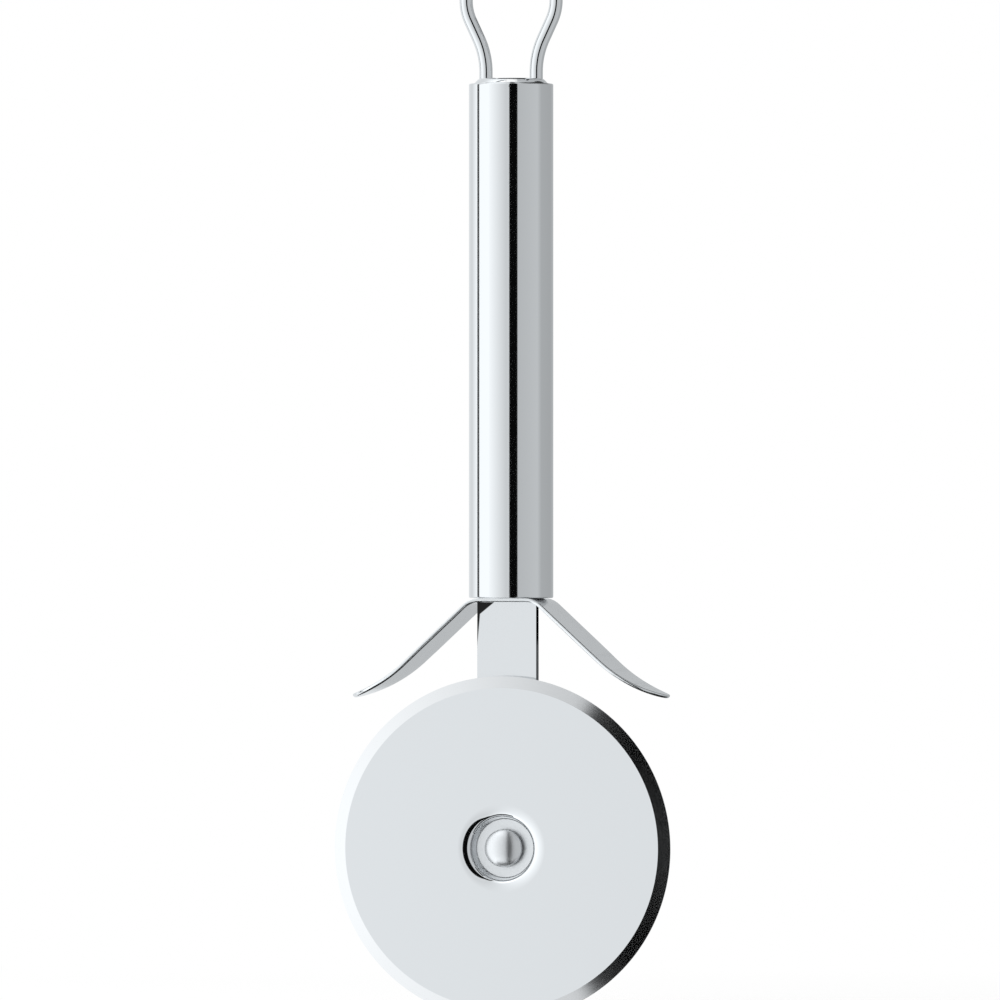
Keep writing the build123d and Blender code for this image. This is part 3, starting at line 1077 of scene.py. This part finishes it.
def hang_cards():
    """Flat cards over and under the cutter, which only the steel sees."""
    for name, brightness, left, right, front, back, height in studio_cards:
        material = bpy.data.materials.new(name)
        glow(material, empty_tree(material), Color=WHITE, Strength=brightness)
        bm = bmesh.new()
        bmesh.ops.create_grid(bm, x_segments=1, y_segments=1, size=0.5)
        bmesh.ops.scale(bm, verts=bm.verts, vec=(right - left, back - front, 1))
        bmesh.ops.translate(bm, verts=bm.verts, vec=((left + right) / 2, (front + back) / 2, height))
        only_mirrored(stage_mesh(bm, name, material))


def hang_lamp():
    """One large soft lamp over the cutter, which lays its shadow on the floor."""
    studio = sizes("studio")
    data = bpy.data.lights.new("soft_lamp", "AREA")
    data.shape = "DISK"
    data.size = studio.lamp_size
    data.energy = studio.lamp_power
    lamp = bpy.data.objects.new("soft_lamp", data)
    bpy.context.scene.collection.objects.link(lamp)
    lamp.location = studio.lamp_place
    lamp.rotation_euler = (axle - lamp.location).to_track_quat("-Z", "Y").to_euler()
    lamp.visible_glossy = False


def paint_background():
    """White behind the cutter and in its mirror, and a softer light on the floor."""
    studio = sizes("studio")
    world = bpy.data.worlds.new("studio")
    bpy.context.scene.world = world
    tree = empty_tree(world)
    strength = spread(tree, seen_directly(tree), 0.0, 1.0, low=studio.fill)
    background = add(tree, "ShaderNodeBackground", Color=WHITE, Strength=strength)
    show(tree, background.outputs["Background"], "ShaderNodeOutputWorld")


def place_camera():
    """A long lens straight in front and a little to the right, as in the photograph."""
    studio = sizes("studio")
    turn = studio.camera_azimuth
    away = Vector((sin(turn), -cos(turn), 0))
    right = Vector((cos(turn), sin(turn), 0))
    data = bpy.data.cameras.new("camera")
    data.lens = data.sensor_width * studio.camera_distance / studio.camera_width
    data.clip_end = 100
    camera = bpy.data.objects.new("camera", data)
    bpy.context.scene.collection.objects.link(camera)
    camera.location = right * studio.aim_across + UP * studio.aim_up + away * studio.camera_distance
    camera.rotation_euler = (-away).to_track_quat("-Z", "Y").to_euler()
    bpy.context.scene.camera = camera


groups = {
    "loop": LoopSizes,
    "handle": HandleSizes,
    "guard": GuardSizes,
    "arm": ArmSizes,
    "wheel": WheelSizes,
    "rivet": RivetSizes,
    "finish": SteelFinish,
    "studio": StudioSetup,
}
makers = (
    CUTTER_OT_hanging_loop,
    CUTTER_OT_top_end_cap,
    CUTTER_OT_handle_tube,
    CUTTER_OT_finger_guard,
    CUTTER_OT_blade_arm,
    CUTTER_OT_cutting_wheel,
    CUTTER_OT_axle_rivet,
    CUTTER_OT_small_parts,
    CUTTER_OT_studio,
)


class CUTTER_PT_pieces(bpy.types.Panel):
    """Lists the pieces of the cutter and the studio, with their sizes"""
    bl_label = "Pizza Cutter"
    bl_space_type = "VIEW_3D"
    bl_region_type = "UI"
    bl_category = "Pizza Cutter"

    def draw(self, context):
        for maker in makers:
            self.layout.operator(maker.bl_idname)
        for name, group in groups.items():
            box = self.layout.box()
            box.label(text=name.title())
            for size in group.__annotations__:
                box.prop(sizes(name), size)


def register():
    for group in groups.values():
        bpy.utils.register_class(group)
    for name, group in groups.items():
        setattr(bpy.types.Scene, "cutter_" + name, PointerProperty(type=group))
    for maker in (*makers, CUTTER_PT_pieces):
        bpy.utils.register_class(maker)


def unregister():
    for maker in (CUTTER_PT_pieces, *reversed(makers)):
        bpy.utils.unregister_class(maker)
    for name, group in groups.items():
        delattr(bpy.types.Scene, "cutter_" + name)
        bpy.utils.unregister_class(group)


def main():
    """Build every piece and the studio."""
    register()
    bpy.ops.cutter.hanging_loop()
    bpy.ops.cutter.top_end_cap()
    bpy.ops.cutter.handle_tube()
    bpy.ops.cutter.finger_guard()
    bpy.ops.cutter.blade_arm()
    bpy.ops.cutter.cutting_wheel()
    bpy.ops.cutter.axle_rivet()
    bpy.ops.cutter.small_parts()
    bpy.ops.cutter.studio()


if __name__ == "__main__":
    main()
